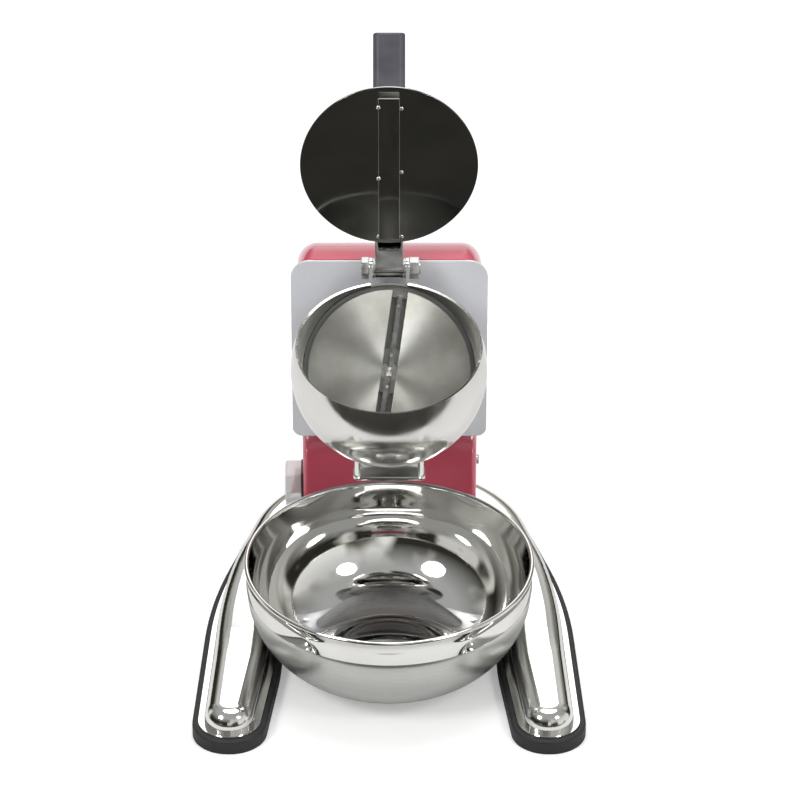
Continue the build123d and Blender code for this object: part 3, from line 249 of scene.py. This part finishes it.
def mouldedPlastic(name, dark, light, rough=(0.4, 0.55), lift=0.25, scale=700):
    finish, tree, shader = newFinish(name, light, 0.0, rough[0])
    tinted(tree, shader, grain(tree, 40, (1, 1, 1), 4), dark, light)
    pebbles = grain(tree, scale, (1, 1, 1), 3)
    varied(tree, shader, pebbles, rough[0], rough[1])
    raised(tree, shader, pebbles, lift, 0.0003)
    return finish


def castMetal(name, dark, light, metallic=1.0, rough=(0.4, 0.6)):
    finish, tree, shader = newFinish(name, light, metallic, rough[0])
    pits = grain(tree, 350, (1, 1, 1), 5)
    tinted(tree, shader, pits, dark, light)
    varied(tree, shader, pits, rough[0], rough[1])
    raised(tree, shader, pits, 0.3, 0.0004)
    return finish


def woundCopper(name):
    finish, tree, shader = newFinish(name, (0.55, 0.22, 0.07), 0.9, 0.3)
    turns = grain(tree, 300, (1, 1, 14), 2)
    tinted(tree, shader, turns, (0.2, 0.06, 0.02), (0.6, 0.26, 0.09))
    raised(tree, shader, turns, 0.6, 0.0006)
    return finish


def clearPlastic(name):
    # soft clear boot over the switch
    finish, tree, shader = newFinish(name, (0.9, 0.92, 0.92), 0.0, 0.12)
    shader.inputs["IOR"].default_value = 1.45
    shader.inputs["Alpha"].default_value = 0.38
    varied(tree, shader, grain(tree, 90, (1, 1, 1), 4), 0.1, 0.28)
    raised(tree, shader, grain(tree, 160, (1, 1, 1), 2), 0.15, 0.0004)
    return finish


def silverLacquer(name):
    finish, tree, shader = newFinish(name, (0.76, 0.77, 0.81), 0.15, 0.34)
    flakes = grain(tree, 1600, (1, 1, 1), 2)
    tinted(tree, shader, flakes, (0.72, 0.73, 0.77), (0.8, 0.81, 0.85))
    varied(tree, shader, grain(tree, 30, (1, 1, 1), 4), 0.3, 0.4)
    raised(tree, shader, flakes, 0.05, 0.0001)
    return finish


def blackRubber(name):
    finish, tree, shader = newFinish(name, (0.012, 0.012, 0.014), 0.0, 0.6)
    skin = grain(tree, 260, (1, 1, 1), 5)
    tinted(tree, shader, skin, (0.006, 0.006, 0.007), (0.02, 0.02, 0.022))
    varied(tree, shader, skin, 0.5, 0.75)
    raised(tree, shader, skin, 0.2, 0.0004)
    return finish


finishes = {
    "black_rubber": blackRubber("soleRubber"),
    "stainless": polishedSteel("buffedStainless"),
    "zinc_hardware": brushedSteel("zincHardware", 0.6, (1, 1, 1), (0.2, 0.38), 0.1, 120),
    "turned_steel": brushedSteel("groundSteel", 0.55, (1, 1, 1), (0.2, 0.34), 0.08, 150),
    "crimson_enamel": enamel("crimsonEnamel", (0.60, 0.085, 0.135), (0.70, 0.115, 0.175)),
    "silver_lacquer": silverLacquer("silverLacquer"),
    "cast_aluminium": castMetal("castAluminium", (0.36, 0.36, 0.37), (0.6, 0.6, 0.61)),
    "dark_iron": castMetal("varnishedIron", (0.06, 0.05, 0.045), (0.13, 0.11, 0.1), 0.6),
    "copper_wire": woundCopper("windingCopper"),
    "grip_plastic": mouldedPlastic("gripPlastic", (0.06, 0.06, 0.075), (0.105, 0.105, 0.125)),
    "black_plastic": mouldedPlastic("bezelPlastic", (0.012, 0.012, 0.013), (0.03, 0.03, 0.032)),
    "seal_rubber": mouldedPlastic("sealRubber", (0.01, 0.01, 0.01), (0.03, 0.03, 0.03), (0.5, 0.7)),
    "red_plastic": mouldedPlastic("rockerRed", (0.4, 0.01, 0.012), (0.62, 0.02, 0.02), (0.15, 0.25), 0.05),
    "clear_plastic": clearPlastic("clearBoot"),
    "white_plastic": mouldedPlastic("capacitorWhite", (0.6, 0.6, 0.57), (0.74, 0.74, 0.71), (0.2, 0.3), 0.05),
}


def dressNodes():
    # every CAD node gets its slot's finish
    for part in frame["record"]["subparts"]:
        node = nodes[part["node"]]
        node.data.materials.clear()
        node.data.materials.append(finishes[part["material_slot"]])


dressNodes()
print("CAD nodes dressed")

# the line of the spindle: local Z looks out of the mouth, local Y up across the disc
spindle = {"ball": (0, -40.9, 261.0), "tilt": 34.0}
ballCentre = Vector(spindle["ball"]) * mm
tiltCos, tiltSin = cos(radians(spindle["tilt"])), sin(radians(spindle["tilt"]))
intoBody = Vector((0, tiltCos, -tiltSin))
acrossUp = Vector((0, tiltSin, tiltCos))
spindleFrame = Matrix(((1, 0, 0, ballCentre.x), (0, tiltSin, -tiltCos, ballCentre.y),
                       (0, tiltCos, tiltSin, ballCentre.z), (0, 0, 0, 1)))


def addPiece(name, mesh, body, replaced=(), place=None):
    piece = bpy.data.objects.new(name, mesh)
    if place is not None:
        piece.matrix_world = place
    bpy.context.collection.objects.link(piece)
    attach(piece, body)
    if replaced:
        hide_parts(*replaced)
    return piece


def finishMesh(name, made, coats, sharpAngle=35):
    bmesh.ops.recalc_face_normals(made, faces=made.faces)
    mesh = bpy.data.meshes.new(name)
    made.to_mesh(mesh)
    made.free()
    for coat in coats:
        mesh.materials.append(coat)
    mesh.shade_smooth()
    mesh.set_sharp_from_angle(angle=radians(sharpAngle))
    return mesh


def arcPoints(centreR, centreZ, radius, start, end, steps, zone=0):
    turns = [radians(start + (end - start) * k / steps) for k in range(steps + 1)]
    return [(centreR + radius * cos(turn), centreZ + radius * sin(turn), zone) for turn in turns]


def turned(profile, segments=192):
    # revolve (radius, height, zone) points about local Z
    made = bmesh.new()
    rings = []
    for radius, height, zone in profile:
        if radius < 1e-6:
            rings.append([made.verts.new((0, 0, height * mm))])
        else:
            rings.append([made.verts.new((radius * mm * cos(2 * pi * k / segments),
                                          radius * mm * sin(2 * pi * k / segments), height * mm))
                          for k in range(segments)])
    for step, (low, high) in enumerate(zip(rings, rings[1:])):
        for k in range(segments):
            after = (k + 1) % segments
            corners = []
            for corner in (low[k % len(low)], low[after % len(low)],
                           high[after % len(high)], high[k % len(high)]):
                if corner not in corners:
                    corners.append(corner)
            if len(corners) > 2:
                made.faces.new(corners).material_index = profile[step + 1][2]
    return made


# bowl: satin body under a polished band, rolled rim, mirror inside
bowlCut = {"middle": -76.5, "flat": 43.0, "curve": 75.0, "wall": 1.2, "radius": 118.0, "proud": 0.6,
           "height": 98.0, "bead": 2.0, "foot": 20, "band": 12, "segments": 256}


def makeBowl():
    cut = bowlCut
    level = cut["curve"]
    edge = cut["radius"] + cut["proud"]
    profile = [(0, 0, 0), (cut["foot"], 0, 0)] + arcPoints(cut["flat"], level, cut["curve"], -90, -1, 40, 0)
    profile += [(cut["radius"] - 0.5, level, 0), (edge - 0.15, level + 0.3, 1), (edge, level + 0.9, 1),
                (edge, level + cut["band"], 1)]
    profile += arcPoints(cut["radius"], cut["height"] - cut["bead"], cut["bead"], -60, 240, 18, 1)
    profile += [(cut["radius"] - cut["wall"], level + cut["band"], 1)]
    profile += arcPoints(cut["flat"], level, cut["curve"] - cut["wall"], 0, -90, 40, 1)
    profile += [(cut["foot"], cut["wall"], 1), (0, cut["wall"], 1)]
    mesh = finishMesh("iceBowl", turned(profile, cut["segments"]), [bowlSatin, bowlMirror], 50)
    place = Matrix.Translation((0, cut["middle"] * mm, 0))
    addPiece("iceBowl", mesh, "bowl", ["bowl"], place)


# ball hopper: one spun sheet, cut by the tilted mouth, the lever's notch and the outlet
hopperCut = {"ball": 80.0, "wall": 1.8, "chamber": 73.0, "end": 62.0, "mouthTilt": 13.0, "mouthRise": 25.5,
             "notchHalf": 15.3, "notchEnd": 52.0, "shaftHole": 9.5, "outletHalf": 23.5,
             "outletStart": 49.2, "outletEnd": 60.2, "steps": 72,
             "segments": 256, "rimEase": 0.45}


def sliceAll(made, point, normal):
    everything = made.verts[:] + made.edges[:] + made.faces[:]
    bmesh.ops.bisect_plane(made, geom=everything, plane_co=point, plane_no=normal, dist=1e-7)


def makeHopper():
    cut = hopperCut
    join = sqrt(cut["ball"] ** 2 - cut["chamber"] ** 2)
    lastAngle = degrees(atan2(cut["chamber"], -join))
    profile = []
    for k in range(cut["steps"] + 1):
        a = radians(lastAngle * k / cut["steps"])
        profile.append((cut["ball"] * sin(a), cut["ball"] * cos(a), 0))
    profile += [(cut["chamber"], -join - 10, 0), (cut["chamber"], -cut["end"] + 1, 0),
                (cut["chamber"] - 0.4, -cut["end"] + 0.3, 0), (cut["chamber"] - 1.2, -cut["end"], 0),
                (cut["shaftHole"], -cut["end"], 0)]
    made = turned(profile, cut["segments"])
    bmesh.ops.transform(made, matrix=spindleFrame, verts=made.verts)
    tilt = radians(cut["mouthTilt"])
    mouthNormal = Vector((0, -sin(tilt), cos(tilt)))
    everything = made.verts[:] + made.edges[:] + made.faces[:]
    bmesh.ops.bisect_plane(made, geom=everything, plane_co=ballCentre + mouthNormal * cut["mouthRise"] * mm,
                           plane_no=mouthNormal, dist=1e-7, clear_outer=True)
    for side in (-1, 1):
        sliceAll(made, Vector((side * cut["notchHalf"] * mm, 0, 0)), Vector((1, 0, 0)))
        sliceAll(made, Vector((side * cut["outletHalf"] * mm, 0, 0)), Vector((1, 0, 0)))
    for along in (cut["notchEnd"], cut["outletStart"], cut["outletEnd"]):
        sliceAll(made, ballCentre + intoBody * along * mm, intoBody)
    gone = []
    for face in made.faces:
        spot = (face.calc_center_median() - ballCentre) / mm
        along, up = spot.dot(intoBody), spot.dot(acrossUp)
        inNotch = abs(spot.x) < cut["notchHalf"] and along < cut["notchEnd"] and up > 40
        inOutlet = (abs(spot.x) < cut["outletHalf"] and cut["outletStart"] < along < cut["outletEnd"]
                    and up < -60)
        if inNotch or inOutlet:
            gone.append(face)
    bmesh.ops.delete(made, geom=gone, context="FACES")
    bmesh.ops.remove_doubles(made, verts=made.verts, dist=2e-5)
    mesh = finishMesh("ballHopper", made, [hopperSteel, hopperInside], 60)
    piece = addPiece("ballHopper", mesh, "stand", ["hopper"])
    wall = piece.modifiers.new("sheet", "SOLIDIFY")
    wall.thickness = cut["wall"] * mm
    wall.offset = -1
    wall.use_even_offset = True
    wall.material_offset = 1
    wall.material_offset_rim = 0
    soft = piece.modifiers.new("easedRim", "BEVEL")
    soft.width = cut["rimEase"] * mm
    soft.segments = 3
    soft.angle_limit = radians(50)
    soft.harden_normals = True


# shaver disc: two half plates on a back ring, turned hub behind
discCut = {"front": 44.0, "radius": 67.0, "thick": 4.0, "slot": 12.5, "lean": 8.0, "ring": 61.0, "web": 3.0,
           "hub": 19.0, "hubLength": 10.0, "bar": 5.0, "bore": 7.5, "steps": 72, "ease": 0.5}


def plateHalf(made, side):
    # half plate with its straight edge along the slot, front face up, edges eased
    cut = discCut
    half = cut["slot"] / 2
    start = asin(half / cut["radius"])
    steps = cut["steps"]
    rim = [(cut["radius"] * cos(pi / 2 - start - (pi - 2 * start) * k / steps),
            cut["radius"] * sin(pi / 2 - start - (pi - 2 * start) * k / steps)) for k in range(steps + 1)]
    turn = radians(-cut["lean"]) if side > 0 else radians(180 - cut["lean"])
    rim = [(x * cos(turn) - y * sin(turn), x * sin(turn) + y * cos(turn)) for x, y in rim]
    front = [made.verts.new((x * mm, y * mm, -cut["front"] * mm)) for x, y in rim]
    face = made.faces.new(front)
    grown = bmesh.ops.extrude_face_region(made, geom=[face])
    back = [v for v in grown["geom"] if isinstance(v, bmesh.types.BMVert)]
    bmesh.ops.translate(made, verts=back, vec=(0, 0, -cut["thick"] * mm))


def makeDisc():
    cut = discCut
    made = bmesh.new()
    plateHalf(made, 1)
    plateHalf(made, -1)
    back = -(cut["front"] + cut["thick"])
    ring = turned([(cut["ring"], back, 1), (cut["radius"], back, 1), (cut["radius"], back - cut["web"], 1),
                   (cut["ring"], back - cut["web"], 1), (cut["ring"], back, 1)], 160)
    hub = turned([(cut["bore"], back - 2, 1), (cut["bore"], back, 1), (cut["hub"] - 0.6, back, 1),
                  (cut["hub"], back - 0.6, 1), (cut["hub"], back - cut["hubLength"] + 0.6, 1),
                  (cut["hub"] - 0.6, back - cut["hubLength"], 1), (cut["bore"], back - cut["hubLength"], 1),
                  (cut["bore"], back - 2, 1)], 96)
    for extra in (ring, hub):
        spare = bpy.data.meshes.new("spare")
        extra.to_mesh(spare)
        extra.free()
        made.from_mesh(spare)
        bpy.data.meshes.remove(spare)
    bar = bmesh.ops.create_cube(made, size=1)["verts"]
    long = 2 * cut["radius"] - 6
    bmesh.ops.scale(made, verts=bar, vec=(cut["bar"] * mm, long * mm, cut["web"] * mm))
    bmesh.ops.rotate(made, verts=bar, matrix=Matrix.Rotation(radians(-cut["lean"]), 3, "Z"))
    bmesh.ops.translate(made, verts=bar, vec=(0, 0, (back - cut["web"] / 2) * mm))
    layer = made.loops.layers.uv.new("brushed")
    for face in made.faces:
        for loop in face.loops:
            loop[layer].uv = (loop.vert.co.y * 5, loop.vert.co.x * 5)
    mesh = finishMesh("shaverDisc", made, [discSteel, darkSteel], 30)
    piece = addPiece("shaverDisc", mesh, "spindle", ["blade_disc"], spindleFrame)
    soft = piece.modifiers.new("easedEdges", "BEVEL")
    soft.width = cut["ease"] * mm
    soft.segments = 3
    soft.angle_limit = radians(40)
    soft.harden_normals = True


def easedCopy(name, node, body, coat, width, segments=3, angle=25):
    # the CAD piece again with its sharp edges eased
    made = bmesh.new()
    made.from_mesh(nodes[node].data)
    bmesh.ops.remove_doubles(made, verts=made.verts, dist=1e-6)
    bmesh.ops.dissolve_limit(made, angle_limit=radians(0.6), verts=made.verts, edges=made.edges)
    edges = [e for e in made.edges if len(e.link_faces) == 2 and e.calc_face_angle(0) > radians(angle)]
    bmesh.ops.bevel(made, geom=edges, offset=width * mm, segments=segments, profile=0.6, affect="EDGES",
                    clamp_overlap=True)
    mesh = finishMesh(name, made, [coat], 35)
    return addPiece(name, mesh, body, [node])


bowlSatin = brushedSteel("bowlSatin", 0.64, (1, 1, 60), (0.3, 0.4), 0.12, 60)
bowlMirror = polishedSteel("bowlMirror", 0.78, 0.03, 0.07, 0.02)
hopperSteel = polishedSteel("hopperBuffed", 0.72, 0.1, 0.22, 0.06)
# the brushed inside is the sheet's own finish; its darker tone than the outside is painted shade inside the
# ball
hopperInside = brushedSteel("hopperInside", 0.42, (1, 1, 30), (0.3, 0.42), 0.12, 70)
discSteel = turnedSteel("discGround", 0.72, 0.44, 0.95)
# the ring and hub behind the disc get a steel far darker than real steel: painted shade behind the disc
darkSteel = brushedSteel("backSteel", 0.3, (1, 1, 1), (0.35, 0.5), 0.1, 120)

makeBowl()
makeHopper()
makeDisc()
print("bowl, hopper and disc made")

# the lever and lid are the same stainless as the ears and chute, made darker here: painted shade on the lever
# and a painted dark reflection on the lid
leverSteel = brushedSteel("leverSteel", 0.42, (1, 1, 1), (0.12, 0.24), 0.08, 90)
lidSteel = polishedSteel("lidSteel", 0.4, 0.04, 0.1, 0.04)
bladeSteel = brushedSteel("bladeSteel", 0.36, (1, 1, 1), (0.2, 0.34), 0.08, 150)
for name, node, body, slotName, coat, width in [
        ("hingeBoltEased", "hinge_bolt", "stand", "zinc_hardware", finishes["zinc_hardware"], 0.5),
        ("hingeNutEased", "hinge_nut", "stand", "zinc_hardware", finishes["zinc_hardware"], 0.5),
        ("earLeftEased", "hinge_ear_left", "stand", "stainless", finishes["stainless"], 0.4),
        ("earRightEased", "hinge_ear_right", "stand", "stainless", finishes["stainless"], 0.4),
        ("frontPlateEased", "front_plate", "stand", "silver_lacquer", finishes["silver_lacquer"], 0.6),
        ("chuteEased", "chute", "stand", "stainless", finishes["stainless"], 0.35),
        ("lidRibEased", "press_rib", "lid", "stainless", lidSteel, 0.45),
        ("lidPlateEased", "press_plate", "lid", "stainless", lidSteel, 0.4),
        ("leverEased", "press_lever", "lid", "stainless", leverSteel, 0.45)]:
    easedCopy(name, node, body, coat, width)
for name in ("blade_upper", "blade_lower"):
    nodes[name].data.materials.clear()
    nodes[name].data.materials.append(bladeSteel)
print("small steel pieces eased")

# spot welds that hold the rib on the lid, (x, z) seen from the front
weldCut = {"left": ((-8.6, 457.2), (-8.6, 391.6), (-8.6, 333.1)),
           "right": ((10, 452.5), (10, 393.5), (10, 333)),
           "radius": 1.7, "proud": 0.7, "sunk": 0.3}


def makeWelds():
    cut = weldCut
    made = bmesh.new()
    verts, faces = [], []
    for node in ("press_rib", "press_plate"):
        start = len(verts)
        verts += [v.co.copy() for v in nodes[node].data.vertices]
        faces += [tuple(start + k for k in face.vertices) for face in nodes[node].data.polygons]
    skin = BVHTree.FromPolygons(verts, faces)
    for x, z in cut["left"] + cut["right"]:
        spot, normal = skin.ray_cast(Vector((x * mm, -1, z * mm)), Vector((0, 1, 0)))[:2]
        if normal.y > 0:
            normal = -normal
        dome = turned([(0, cut["proud"], 0), (cut["radius"] * 0.45, cut["proud"] * 0.86, 0),
                       (cut["radius"] * 0.8, cut["proud"] * 0.5, 0), (cut["radius"], 0, 0),
                       (cut["radius"] * 0.7, -cut["sunk"], 0), (0, -cut["sunk"], 0)], 24)
        turn = normal.to_track_quat("Z", "Y").to_matrix().to_4x4()
        bmesh.ops.transform(dome, matrix=Matrix.Translation(spot) @ turn, verts=dome.verts)
        spare = bpy.data.meshes.new("spare")
        dome.to_mesh(spare)
        dome.free()
        made.from_mesh(spare)
        bpy.data.meshes.remove(spare)
    addPiece("ribSpotWelds", finishMesh("ribSpotWelds", made, [weldSteel], 60), "lid")


weldSteel = polishedSteel("weldSteel", 0.74, 0.12, 0.25, 0.1)
makeWelds()
print("spot welds set")


def floorFinish():
    finish, tree, shader = newFinish("paleFloor", (studio["floor"],) * 3, 0.0, 0.9)
    tinted(tree, shader, grain(tree, 3, (1, 1, 1), 2), (studio["floor"] - 0.01,) * 3, (studio["floor"],) * 3)
    # the camera sees the paper white, with the shadows kept
    path = tree.nodes.new("ShaderNodeLightPath")
    lift = tree.nodes.new("ShaderNodeMath")
    lift.operation = "MULTIPLY"
    lift.inputs[1].default_value = floor["lift"]
    tree.links.new(path.outputs["Is Camera Ray"], lift.inputs[0])
    shader.inputs["Emission Color"].default_value = (1, 1, 1, 1)
    tree.links.new(lift.outputs[0], shader.inputs["Emission Strength"])
    return finish


flatSheet("studioFloor", (-floor["half"], floor["half"]), (-floor["half"], floor["half"]), 0, floorFinish())
clothFinish, clothTree, clothShader = newFinish("darkCloth", (0.02, 0.019, 0.014), 0.0, 0.9)
tinted(clothTree, clothShader, grain(clothTree, 6), (0.012, 0.012, 0.01), (0.03, 0.027, 0.02))
cloth = flatSheet("darkCloth", floor["cloth"][0], floor["cloth"][1], floor["clothLift"], clothFinish)
cloth.visible_camera = False
cloth.visible_diffuse = False
cloth.visible_shadow = False
cloth.visible_transmission = False
print("floor laid")
